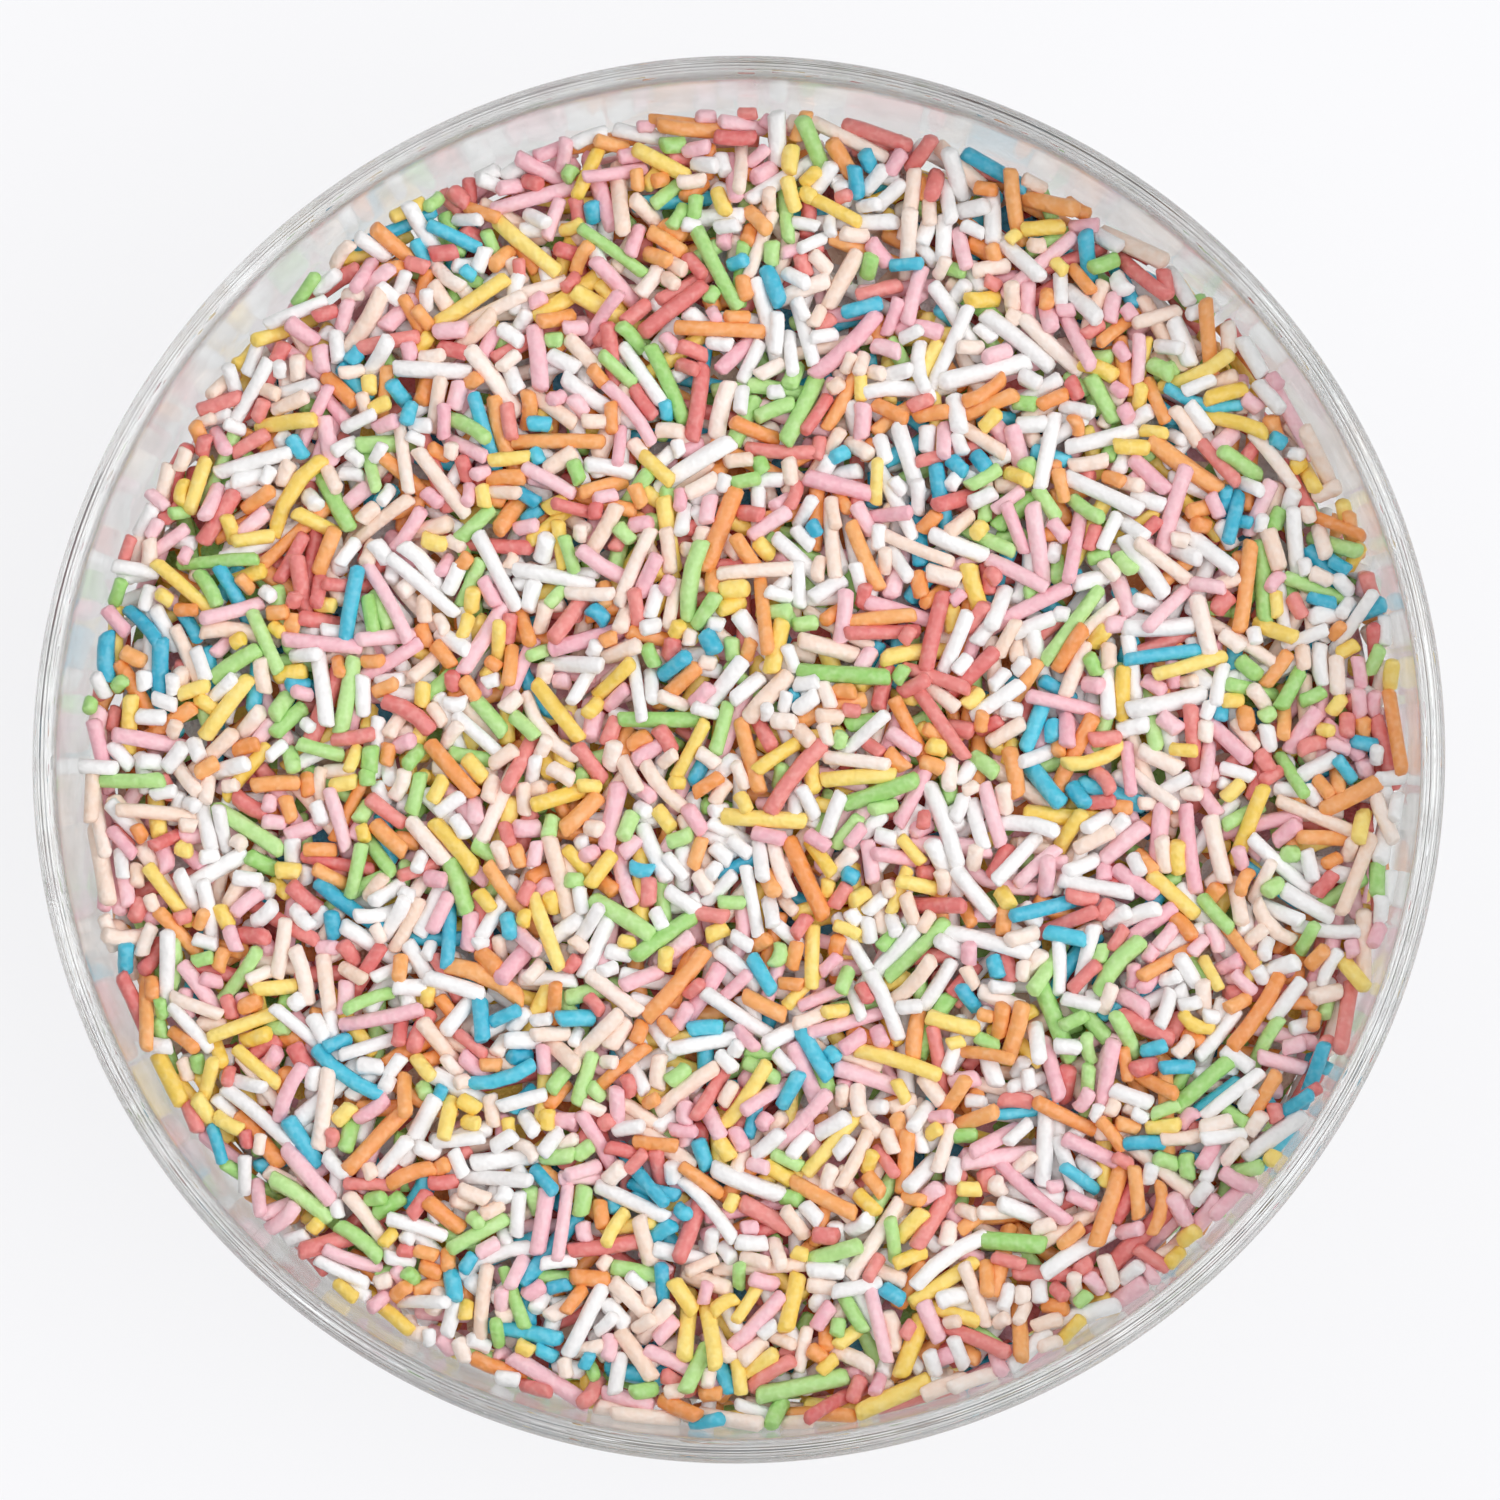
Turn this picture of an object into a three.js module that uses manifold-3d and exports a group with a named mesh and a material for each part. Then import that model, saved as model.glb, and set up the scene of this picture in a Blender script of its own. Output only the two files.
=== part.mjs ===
// A small clear glass bowl filled with sugar sprinkles. Millimetres, +Z up, and the origin is
// the middle of the foot, on the surface that the bowl stands on.
//
// The bowl is one turned solid: an outer and an inner elliptical arc that are upright at the
// mouth, joined by a round bead at the top and a low foot ring below.
// The heap is one solid too. Its core follows the inside of the glass up to a low crown of
// broad facets, and sprinkles of true size lie fused on that, half sunk, the longest placed
// first and none of them across another.

import * as THREE from "three";
import { mergeVertices } from "three/addons/utils/BufferGeometryUtils.js";
import Module from "manifold-3d";

// --- driving dimensions ---------------------------------------------------------------------

const MOUTH_DIAMETER = 100;
const BOWL_HEIGHT = 45;
const RIM_THICKNESS = 1.75; // across the bead of the mouth
const BASE_THICKNESS = 4.5; // in the middle of the floor
const INNER_FLOOR_RADIUS = 19; // where the floor inside starts to rise into the wall
const FOOT_OUTER_RADIUS = 24;
const FOOT_INNER_RADIUS = 18.5;
const FOOT_HEIGHT = 1.6; // from the surface up to where the wall springs from the foot
const FOOT_RECESS = 0.8; // how far the underside is hollowed inside the foot ring

const FILL_DEPTH = 10.3; // from the mouth down to the core, beside the wall
const CROWN_HEIGHT = 1.7; // how much higher the core is in the middle
const WAVE_HEIGHT = 0.5; // of the low, irregular waves on top of the core
const WAVE_SPANS = [9, 8, 5]; // a radian of the waves along X, along Y and aslant
const GLASS_CLEARANCE = 0.35; // between the heap and the glass

const SPRINKLE_DIAMETER = 1.3;
const SPRINKLE_LENGTHS = [2.4, 7.2]; // shortest and longest that are modelled
const SHORT_BIAS = 1.4; // above 1, short ones are commoner than long ones
const SPRINKLE_SIDES = 6;
const SPRINKLE_COUNT = 298;
const SPRINKLE_LIFT = [0.05, 0.35]; // lowest and highest axis above the core
const SPRINKLE_PITCH = 0.09; // most that one tips out of the level, in radians
const SPRINKLE_SPACING = 1.45; // least distance between the axes of two sprinkles

const TURN_SEGMENTS = 64; // round the bowl
const HEAP_SEGMENTS = 32; // round the heap's side
const CROWN_SEGMENTS = 14; // round the facets of the heap's top
const CROWN_RINGS = [0.66, 0.3]; // where those facets meet, as shares of the radius
const ARC_STEPS = 7; // along each wall arc
const BEAD_STEPS = 4; // over the mouth's bead
const PLACE_TRIES = 60; // places that are tried for each sprinkle
const SEED = 41;

// --- values worked out from them ------------------------------------------------------------

const MOUTH_RADIUS = MOUTH_DIAMETER / 2;
const BEAD_RADIUS = RIM_THICKNESS / 2;
const BEAD_HEIGHT = BOWL_HEIGHT - BEAD_RADIUS; // where both wall arcs end, upright
const INNER_MOUTH_RADIUS = MOUTH_RADIUS - RIM_THICKNESS;
const CORE_EDGE_HEIGHT = BOWL_HEIGHT - FILL_DEPTH;
const SPRINKLE_RADIUS = SPRINKLE_DIAMETER / 2;
const FREE_DISTANCE = SPRINKLE_LENGTHS[1] + 2 * SPRINKLE_SPACING; // no two meet beyond it

// --- helpers --------------------------------------------------------------------------------

// A small seeded random number generator, so that every build gives the same heap.
function seededRandom(seed) {
  let state = seed >>> 0;
  return () => {
    state = (state + 0x6d2b79f5) >>> 0;
    let t = Math.imul(state ^ (state >>> 15), state | 1);
    t ^= t + Math.imul(t ^ (t >>> 7), t | 61);
    return ((t ^ (t >>> 14)) >>> 0) / 4294967296;
  };
}

// Points of a quarter ellipse, from its lowest point out and up to where it stands upright.
function wallArc(startRadius, startHeight, endRadius, endHeight, steps = ARC_STEPS) {
  return Array.from({ length: steps + 1 }, (_, i) => {
    const angle = (i / steps) * (Math.PI / 2);
    return new THREE.Vector2(
      startRadius + (endRadius - startRadius) * Math.sin(angle),
      endHeight - (endHeight - startHeight) * Math.cos(angle),
    );
  });
}

// The radius of the glass's inner wall at a height, on the same ellipse as innerWall.
function innerRadiusAt(height) {
  const drop = (BEAD_HEIGHT - height) / (BEAD_HEIGHT - BASE_THICKNESS);
  return (
    INNER_FLOOR_RADIUS +
    (INNER_MOUTH_RADIUS - INNER_FLOOR_RADIUS) * Math.sqrt(Math.max(0, 1 - drop * drop))
  );
}

// Turns a profile round the Z axis. LatheGeometry turns it round Y, so it is laid over.
function turned(profile, segments) {
  return new THREE.LatheGeometry(profile, segments).rotateX(Math.PI / 2);
}

// A value between two limits, at a share from 0 to 1 of the way.
function between([low, high], share) {
  return low + (high - low) * share;
}

// --- the bowl -------------------------------------------------------------------------------

const innerWall = wallArc(
  INNER_FLOOR_RADIUS,
  BASE_THICKNESS,
  INNER_MOUTH_RADIUS,
  BEAD_HEIGHT,
);
const outerWall = wallArc(FOOT_OUTER_RADIUS, FOOT_HEIGHT, MOUTH_RADIUS, BEAD_HEIGHT);

function bowlGeometry() {
  const underside = [
    new THREE.Vector2(0, FOOT_RECESS),
    new THREE.Vector2(FOOT_INNER_RADIUS - FOOT_RECESS, FOOT_RECESS),
    new THREE.Vector2(FOOT_INNER_RADIUS, 0),
    new THREE.Vector2(FOOT_OUTER_RADIUS - FOOT_RECESS, 0),
  ];
  // the bead, from the outer wall over the top to the inner wall, without its two ends
  const bead = Array.from({ length: BEAD_STEPS - 1 }, (_, i) => {
    const angle = ((i + 1) / BEAD_STEPS) * Math.PI;
    return new THREE.Vector2(
      MOUTH_RADIUS - BEAD_RADIUS + BEAD_RADIUS * Math.cos(angle),
      BEAD_HEIGHT + BEAD_RADIUS * Math.sin(angle),
    );
  });
  const floor = new THREE.Vector2(0, BASE_THICKNESS);
  const profile = [...underside, ...outerWall, ...bead, ...innerWall.slice().reverse(), floor];
  return turned(profile, TURN_SEGMENTS);
}

// --- the heap -------------------------------------------------------------------------------

// What the inside of the glass holds, with a little clearance: the heap's side, up to a lid
// well above its top.
function fillGeometry() {
  const side = innerWall.map((p, i) => {
    const before = innerWall[Math.max(0, i - 1)];
    const after = innerWall[Math.min(innerWall.length - 1, i + 1)];
    const along = after.clone().sub(before).normalize();
    return new THREE.Vector2(p.x - along.y * GLASS_CLEARANCE, p.y + along.x * GLASS_CLEARANCE);
  });
  const floor = new THREE.Vector2(0, BASE_THICKNESS + GLASS_CLEARANCE);
  const lid = new THREE.Vector2(0, side.at(-1).y);
  return turned([floor, ...side, lid], HEAP_SEGMENTS);
}

// The height of the heap's top at a place: a low crown with gentle waves.
function topHeight(x, y) {
  const share = Math.min(1, Math.hypot(x, y) / MOUTH_RADIUS);
  const [spanX, spanY, spanAslant] = WAVE_SPANS;
  const long = Math.sin(x / spanX + 0.6) * Math.cos(y / spanY - 0.4);
  const waves = long + 0.5 * Math.sin((x + y) / spanAslant);
  return CORE_EDGE_HEIGHT + CROWN_HEIGHT * (1 - share * share) + WAVE_HEIGHT * waves;
}

// A block, wider than the bowl, whose top is the crown in broad facets.
function crownGeometry() {
  const rings = [1, ...CROWN_RINGS, 0].map((share) => MOUTH_RADIUS * share);
  const geometry = turned(
    [
      new THREE.Vector2(0, BASE_THICKNESS),
      new THREE.Vector2(MOUTH_RADIUS, BASE_THICKNESS),
      ...rings.map((radius) => new THREE.Vector2(radius, BOWL_HEIGHT)),
    ],
    CROWN_SEGMENTS,
  );
  const place = geometry.getAttribute("position");
  for (let i = 0; i < place.count; i++) {
    if (place.getZ(i) > CORE_EDGE_HEIGHT) place.setZ(i, topHeight(place.getX(i), place.getY(i)));
  }
  return geometry;
}

// One sprinkle: a rod of a few sides with an edge on top, lying along its yaw.
function sprinkleGeometry({ length, x, y, z, yaw, pitch }) {
  const corners = Array.from({ length: SPRINKLE_SIDES }, (_, i) => {
    const angle = (i / SPRINKLE_SIDES) * 2 * Math.PI + Math.PI / 2;
    return new THREE.Vector2(SPRINKLE_RADIUS * Math.cos(angle), SPRINKLE_RADIUS * Math.sin(angle));
  });
  return new THREE.ExtrudeGeometry(new THREE.Shape(corners), { depth: length, bevelEnabled: false })
    .translate(0, 0, -length / 2)
    .rotateX(Math.PI / 2)
    .rotateZ(Math.PI / 2)
    .rotateY(-pitch)
    .rotateZ(yaw)
    .translate(x, y, z);
}

// Points along a sprinkle's axis, seen from above, about one radius apart.
function axisPoints({ length, x, y, yaw }) {
  const steps = Math.ceil(length / SPRINKLE_RADIUS);
  return Array.from({ length: steps + 1 }, (_, i) => {
    const along = length * (i / steps - 0.5);
    return new THREE.Vector2(x + along * Math.cos(yaw), y + along * Math.sin(yaw));
  });
}

// Where the sprinkles lie: the longest first, each at the place that is freest of several drawn
// at random. A place that would touch the glass or cross another sprinkle is passed over.
function placedSprinkles(random) {
  const reach = innerRadiusAt(CORE_EDGE_HEIGHT) - GLASS_CLEARANCE - SPRINKLE_RADIUS;
  const lengths = Array.from({ length: SPRINKLE_COUNT }, () =>
    between(SPRINKLE_LENGTHS, random() ** SHORT_BIAS),
  );
  const placed = [];
  for (const length of lengths.sort((a, b) => b - a)) {
    let best = { room: SPRINKLE_SPACING };
    for (let i = 0; i < PLACE_TRIES; i++) {
      const radius = reach * Math.sqrt(random());
      const angle = random() * 2 * Math.PI;
      const x = radius * Math.cos(angle);
      const y = radius * Math.sin(angle);
      const sprinkle = { length, x, y, yaw: random() * Math.PI };
      const points = axisPoints(sprinkle);
      if (points.some((p) => p.length() > reach)) continue;
      const near = placed.filter((other) => Math.hypot(other.x - x, other.y - y) < FREE_DISTANCE);
      const gaps = near.flatMap((other) =>
        other.points.flatMap((q) => points.map((p) => p.distanceTo(q))),
      );
      const room = Math.min(FREE_DISTANCE, ...gaps);
      if (room > best.room) best = { ...sprinkle, points, room };
    }
    if (best.points) placed.push(best);
  }
  return placed;
}

// Sets each sprinkle on the facet of the crown that is under its middle.
function sprinkleGeometries() {
  const random = seededRandom(SEED);
  const crown = new THREE.Mesh(crownGeometry());
  const down = new THREE.Vector3(0, 0, -1);
  return placedSprinkles(random).map((sprinkle) => {
    const above = new THREE.Vector3(sprinkle.x, sprinkle.y, BOWL_HEIGHT);
    const [hit] = new THREE.Raycaster(above, down).intersectObject(crown);
    const z = hit.point.z + between(SPRINKLE_LIFT, random());
    const pitch = between([-SPRINKLE_PITCH, SPRINKLE_PITCH], random());
    return sprinkleGeometry({ ...sprinkle, z, pitch });
  });
}

// --- joining --------------------------------------------------------------------------------

const wasm = await Module();
wasm.setup();

function toSolid(geometry) {
  const bare = new THREE.BufferGeometry()
    .setAttribute("position", geometry.getAttribute("position"))
    .setIndex(geometry.getIndex());
  const merged = mergeVertices(bare, 1e-3);
  return new wasm.Manifold(
    new wasm.Mesh({
      numProp: 3,
      vertProperties: new Float32Array(merged.getAttribute("position").array),
      triVerts: new Uint32Array(merged.getIndex().array),
    }),
  );
}

function toGeometry(solid) {
  const { vertProperties, triVerts } = solid.getMesh();
  const geometry = new THREE.BufferGeometry()
    .setAttribute("position", new THREE.BufferAttribute(vertProperties, 3))
    .setIndex(new THREE.BufferAttribute(triVerts, 1));
  geometry.computeVertexNormals();
  return geometry;
}

// Joins the core and its sprinkles. The largest body alone is kept, which drops a loose scrap
// and fills a hollow that the joining has sealed.
function heapGeometry() {
  const core = toSolid(fillGeometry()).intersect(toSolid(crownGeometry()));
  const joined = wasm.Manifold.union([core, ...sprinkleGeometries().map(toSolid)]);
  const bodies = joined.decompose().sort((a, b) => b.volume() - a.volume());
  return toGeometry(bodies[0]);
}

// --- the object -----------------------------------------------------------------------------

function mesh(name, geometry, material) {
  const made = new THREE.Mesh(geometry, material);
  made.name = name;
  return made;
}

const clearGlass = new THREE.MeshStandardMaterial({
  color: 0xf0f5f4,
  roughness: 0.04,
  metalness: 0,
  transparent: true,
  opacity: 0.35,
});
const mixedSugar = new THREE.MeshStandardMaterial({
  color: 0xe6c8b2,
  roughness: 0.5,
  metalness: 0,
});

const bowlOfSprinkles = new THREE.Group();
bowlOfSprinkles.add(mesh("bowl", bowlGeometry(), clearGlass));
bowlOfSprinkles.add(mesh("sprinkles", heapGeometry(), mixedSugar));

export default bowlOfSprinkles;
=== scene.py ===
# %% [markdown]
# # A glass bowl of sugar sprinkles
#
# The object is a small clear glass bowl, filled almost to its mouth with loose rod-shaped sugar
# sprinkles in eight pastel colours. Three things make it look real. The heap has to be a heap:
# thousands of separate strands that rest on each other, with dark gaps between them. The glass
# has to be a turned solid with two walls and a round bead, so that light bends in it. And the
# light has to be bright and soft, because a rim of clear glass shows nothing but the room.
#
# The frame holds the plain solids, and every piece made here stands for one of them.

# %% Load the frame
import math
import time

import bmesh
import bpy
import numpy as np
from mathutils import Matrix, Vector


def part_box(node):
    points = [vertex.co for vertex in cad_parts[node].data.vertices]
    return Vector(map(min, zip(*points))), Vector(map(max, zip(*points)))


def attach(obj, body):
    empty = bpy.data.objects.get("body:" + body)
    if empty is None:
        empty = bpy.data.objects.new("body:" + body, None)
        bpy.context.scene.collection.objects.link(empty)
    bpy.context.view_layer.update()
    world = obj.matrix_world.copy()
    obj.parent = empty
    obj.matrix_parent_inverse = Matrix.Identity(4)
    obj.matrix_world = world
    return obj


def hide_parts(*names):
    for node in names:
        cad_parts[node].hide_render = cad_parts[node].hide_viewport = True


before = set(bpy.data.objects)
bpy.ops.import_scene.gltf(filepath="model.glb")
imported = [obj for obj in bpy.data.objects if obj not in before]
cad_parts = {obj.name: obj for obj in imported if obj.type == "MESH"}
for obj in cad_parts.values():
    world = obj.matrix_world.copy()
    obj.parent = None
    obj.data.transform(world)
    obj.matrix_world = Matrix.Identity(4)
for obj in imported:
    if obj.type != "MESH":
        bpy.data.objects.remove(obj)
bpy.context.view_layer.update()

started = time.perf_counter()

# %% [markdown]
# ## Sizes
#
# Blender works in metres, so every size is written in millimetres times MM. The mouth and the
# height come from the frame. The rest of the bowl's section can't be read from a box, so it is
# repeated here: wall arcs that are quarter ellipses, upright at the mouth, on a low foot ring.

# %% Driving dimensions
MM = 0.001
SEED = 11

bowl_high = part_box("bowl")[1]
MOUTH_RADIUS = bowl_high.x
BOWL_HEIGHT = bowl_high.z
RIM_THICKNESS = 1.75 * MM
BASE_THICKNESS = 4.5 * MM
INNER_FLOOR_RADIUS = 19 * MM
FOOT_OUTER_RADIUS = 24 * MM
FOOT_INNER_RADIUS = 18.5 * MM
FOOT_HEIGHT = 1.6 * MM
FOOT_RECESS = 0.8 * MM

BEAD_RADIUS = RIM_THICKNESS / 2
BEAD_HEIGHT = BOWL_HEIGHT - BEAD_RADIUS
INNER_RADIUS = MOUTH_RADIUS - RIM_THICKNESS
print("mouth radius", MOUTH_RADIUS, "height", BOWL_HEIGHT)

# %% [markdown]
# ## The glass bowl
#
# A pressed glass bowl is a solid of revolution, so its outline is drawn once, as a chain of
# vertices, and spun round the Z axis. A Screw modifier would do the same, but the spin leaves a
# plain mesh that can be bevelled at the foot. The spin closes on itself, and its copies of the
# two points on the axis are merged, so that the glass is one watertight body. Light only bends
# rightly in a closed body whose faces all point out.

# %% Draw a wall arc


def wall_arc(start, end, steps):
    """Points (radius, height) of a quarter ellipse that leaves start level and ends upright."""
    turns = np.linspace(0, math.pi / 2, steps + 1)
    return [
        (
            start[0] + (end[0] - start[0]) * math.sin(turn),
            end[1] - (end[1] - start[1]) * math.cos(turn),
        )
        for turn in turns
    ]


ARC_STEPS = 36
inner_wall = wall_arc((INNER_FLOOR_RADIUS, BASE_THICKNESS), (INNER_RADIUS, BEAD_HEIGHT), ARC_STEPS)
outer_wall = wall_arc((FOOT_OUTER_RADIUS, FOOT_HEIGHT), (MOUTH_RADIUS, BEAD_HEIGHT), ARC_STEPS)
print("wall arcs of", len(inner_wall), "points")

# %% Spin an outline
SAME_PLACE = 0.001 * MM  # vertices nearer to each other than this are merged
ON_CIRCLE = 0.01 * MM


def spun(outline, steps):
    """A bmesh of an outline of (radius, height) points, turned once round the Z axis."""
    bm = bmesh.new()
    points = [bm.verts.new((radius, 0, height)) for radius, height in outline]
    lines = [bm.edges.new(pair) for pair in zip(points, points[1:])]
    bmesh.ops.spin(
        bm, geom=points + lines, cent=(0, 0, 0), axis=(0, 0, 1), dvec=(0, 0, 0),
        angle=2 * math.pi, steps=steps, use_merge=True,
    )
    bmesh.ops.remove_doubles(bm, verts=bm.verts[:], dist=SAME_PLACE)
    bmesh.ops.recalc_face_normals(bm, faces=bm.faces[:])
    return bm


def ring_edges(bm, radius, height):
    """The edges of a spun shape that lie on one circle."""
    def on_it(v):
        near = abs(math.hypot(v.co.x, v.co.y) - radius) < ON_CIRCLE
        return near and abs(v.co.z - height) < ON_CIRCLE
    return [e for e in bm.edges if all(on_it(v) for v in e.verts)]


# %% Turn a bmesh into a piece


def as_object(name, bm):
    """Writes a bmesh out as a smooth shaded object at the origin."""
    mesh = bpy.data.meshes.new(name)
    bm.to_mesh(mesh)
    bm.free()
    mesh.shade_smooth()
    made = bpy.data.objects.new(name, mesh)
    bpy.context.scene.collection.objects.link(made)
    return made


# %% Make the bowl
BEAD_STEPS = 12
SPIN_STEPS = 384
FOOT_ROUNDING = 0.45 * MM
ROUNDING_STEPS = 4

bead = [
    (
        MOUTH_RADIUS - BEAD_RADIUS + BEAD_RADIUS * math.cos(turn),
        BEAD_HEIGHT + BEAD_RADIUS * math.sin(turn),
    )
    for turn in np.linspace(0, math.pi, BEAD_STEPS + 1)[1:-1]
]
underside = [
    (0, FOOT_RECESS),
    (FOOT_INNER_RADIUS - FOOT_RECESS, FOOT_RECESS),
    (FOOT_INNER_RADIUS, 0),
    (FOOT_OUTER_RADIUS - FOOT_RECESS, 0),
]
inside_down = [*inner_wall[::-1], (0, BASE_THICKNESS)]
glass_mesh = spun([*underside, *outer_wall, *bead, *inside_down], SPIN_STEPS)
corners = [*underside[1:], outer_wall[0]]
bmesh.ops.bevel(
    glass_mesh, geom=[e for corner in corners for e in ring_edges(glass_mesh, *corner)],
    offset=FOOT_ROUNDING, segments=ROUNDING_STEPS, profile=0.5, affect="EDGES", material=-1,
)
glass_bowl = as_object("glass_bowl", glass_mesh)
print("glass bowl of", len(glass_bowl.data.polygons), "faces")

# %% [markdown]
# ## Writing shaders as sums
#
# A shader is a web of nodes, and most of it is arithmetic. The small class below wraps one
# output socket, so that `1 - mask` or `grain * 0.3` adds the Math node it needs. Colours don't
# pass through Math nodes, which would turn them grey, so they go through Mix. Every other node
# comes from one method, `make`, which takes the node's type, its settings and its inputs.

# %% A socket that can be added and multiplied


class Wire:
    """An output socket that takes part in sums."""

    def __init__(self, sheet, socket):
        self.sheet = sheet
        self.socket = socket

    def sum(self, operation, *terms):
        return self.sheet.make("ShaderNodeMath", {"operation": operation}, dict(enumerate(terms)))

    def __add__(self, other):
        return self.sum("ADD", self, other)

    def __sub__(self, other):
        return self.sum("SUBTRACT", self, other)

    def __rsub__(self, other):
        return self.sum("SUBTRACT", other, self)

    def __mul__(self, other):
        return self.sum("MULTIPLY", self, other)

    def clamped(self):
        return self.sheet.make("ShaderNodeClamp", {}, {"Value": self})

    __radd__ = __add__
    __rmul__ = __mul__


# %% A sheet of nodes


class Sheet:
    """The node tree of one material or world, empty at first."""

    def __init__(self, owner):
        owner.use_nodes = True
        self.tree = owner.node_tree
        self.tree.nodes.clear()

    def make(self, kind, settings=None, inputs=None, output=0):
        """Adds a node. Its settings are set first, then its inputs, which are values or wires."""
        node = self.tree.nodes.new(kind)
        for name, value in (settings or {}).items():
            if name == "steps":
                fill_ramp(node.color_ramp, value)
            else:
                setattr(node, name, value)
        for name, value in (inputs or {}).items():
            if isinstance(value, Wire):
                self.tree.links.new(value.socket, node.inputs[name])
            else:
                node.inputs[name].default_value = value
        return Wire(self, node.outputs[output]) if node.outputs else node

    def mix(self, share, first, second):
        """A colour between two colours."""
        return self.make(
            "ShaderNodeMix", {"data_type": "RGBA"}, {0: share, 6: first, 7: second}, output=2
        )

    def noise(self, size, detail=3.0, roughness=0.55):
        """Noise over the piece's own coordinates, from 0 to 1, in blobs of about that size."""
        place = self.make("ShaderNodeTexCoord", output="Object")
        return self.make(
            "ShaderNodeTexNoise", {},
            {"Vector": place, "Scale": 1 / size, "Detail": detail, "Roughness": roughness},
        )

    def bump(self, height, distance, strength):
        """A normal that follows a height, which stands for that distance."""
        return self.make(
            "ShaderNodeBump", {}, {"Height": height, "Distance": distance, "Strength": strength}
        )


def fill_ramp(ramp, steps):
    """Makes a colour ramp jump from colour to colour, at (place, colour) steps."""
    ramp.interpolation = "CONSTANT"
    while len(ramp.elements) < len(steps):
        ramp.elements.new(0.5)
    for element, (place, colour) in zip(ramp.elements, steps):
        element.position = place
        element.color = colour


def linear(red, green, blue):
    """A colour as a screen shows it, 0 to 255 each, as the light values Blender works in."""
    def one(value):
        share = value / 255
        return share / 12.92 if share <= 0.04045 else ((share + 0.055) / 1.055) ** 2.4
    return (one(red), one(green), one(blue), 1.0)


# %% [markdown]
# ## Clear glass
#
# The glass is one Principled shader with full transmission. Pressed glass is never quite flat:
# its skin undulates by a few hundredths of a millimetre, which makes the bright and grey bands
# of the rim waver, and that is a bump of broad, faint noise. Its roughness varies a little too,
# where it was handled, and sugar dust dulls the inside of the wall above the heap. A ray that
# looks for a lamp can't bend, and so would find the glass in its way. Such rays meet a
# Transparent shader instead, so that a lamp in any room lights the sugar behind the wall.

# %% Mix the glass
DUSTY_FROM = BOWL_HEIGHT - 13 * MM
DUST_EDGE = 0.1 * MM  # so far outside the inner wall, nothing is dusty
DUST = 0.35  # how rough the thickest dust makes the wall
WAVE_SIZE = 12 * MM
WAVE_HEIGHT = 0.1 * MM
WAVE_STRENGTH = 0.1
MARK_SIZE = 4 * MM  # of the marks of handling
MARKED = 0.06


def clear_glass():
    made = bpy.data.materials.new("clear_glass")
    sheet = Sheet(made)
    waves = sheet.noise(WAVE_SIZE, detail=1.0)
    handling = sheet.noise(MARK_SIZE, detail=4.0)
    place = sheet.make("ShaderNodeTexCoord", output="Object")
    height = sheet.make("ShaderNodeSeparateXYZ", {}, {"Vector": place}, output="Z")
    flat = sheet.make("ShaderNodeVectorMath", {"operation": "MULTIPLY"}, {0: place, 1: (1, 1, 0)})
    radius = sheet.make("ShaderNodeVectorMath", {"operation": "LENGTH"}, {0: flat}, output="Value")
    inside = ((INNER_RADIUS + DUST_EDGE - radius) * (1 / DUST_EDGE)).clamped()
    dusty = ((height - DUSTY_FROM) * (1 / MM)).clamped() * inside
    glass = sheet.make(
        "ShaderNodeBsdfPrincipled", {},
        {
            "Base Color": linear(250, 253, 252),
            "Transmission Weight": 1.0,
            "IOR": 1.5,
            "Roughness": (handling - 0.5).clamped() * MARKED + dusty * (handling * DUST),
            "Normal": sheet.bump(waves, WAVE_HEIGHT, WAVE_STRENGTH),
        },
    )
    lamp_ray = sheet.make("ShaderNodeLightPath", output="Is Shadow Ray")
    open_way = sheet.make("ShaderNodeBsdfTransparent", {}, {"Color": linear(247, 250, 249)})
    both = sheet.make("ShaderNodeMixShader", {}, {0: lamp_ray, 1: glass, 2: open_way})
    sheet.make("ShaderNodeOutputMaterial", {}, {"Surface": both})
    return made


glass_bowl.data.materials.append(clear_glass())
print("glass mixed")

# %% [markdown]
# ## How high the bowl is filled
#
# The heap is only made where it shows. Three strands in four would lie inside it, so a plain
# core stands for them, and real strands cover it: two and a half millimetres of them on top,
# and one and a half behind the glass. The core has the form of the bowl's inside, drawn in by
# the depth of that lining. Its top follows the heap's, a low crown with gentle waves.
#
# Seen from the side, the lower wall slopes so much that it is a mirror wherever air lies behind
# it. In a band there, the core reaches just into the glass, and the strands reach a little
# further, so that sugar shows instead of the mirror. Nearer to the middle, the core keeps off
# the glass again, because the rim, seen from above, gets its light from there.

# %% The heap's top
FILL_EDGE = BOWL_HEIGHT - 9.7 * MM
CROWN = 1.7 * MM
WAVE = 0.5 * MM
WAVE_SPANS = (9 * MM, 8 * MM, 5 * MM)
WAVE_SHIFTS = (0.6, 0.4)


def fill_height(x, y):
    """The height up to which the bowl is filled at a place."""
    share = np.minimum(1, np.hypot(x, y) / MOUTH_RADIUS)
    waves = np.sin(x / WAVE_SPANS[0] + WAVE_SHIFTS[0]) * np.cos(y / WAVE_SPANS[1] - WAVE_SHIFTS[1])
    waves = waves + 0.5 * np.sin((x + y) / WAVE_SPANS[2])
    return FILL_EDGE + CROWN * (1 - share * share) + WAVE * waves


print("the heap's top is", round(float(fill_height(0, 0)) / MM, 1), "mm high in the middle")

# %% Draw the core's side
TOP_LAYER = 2.5 * MM
LINING = 1.5 * MM
REACH = 0.05 * MM  # how far the core reaches into the glass where it touches it
# The heights at which the core starts to near the glass, touches it, leaves it and is clear of it:
TOUCHING = (5.5 * MM, 7.5 * MM, 14 * MM, 18 * MM)


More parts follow.
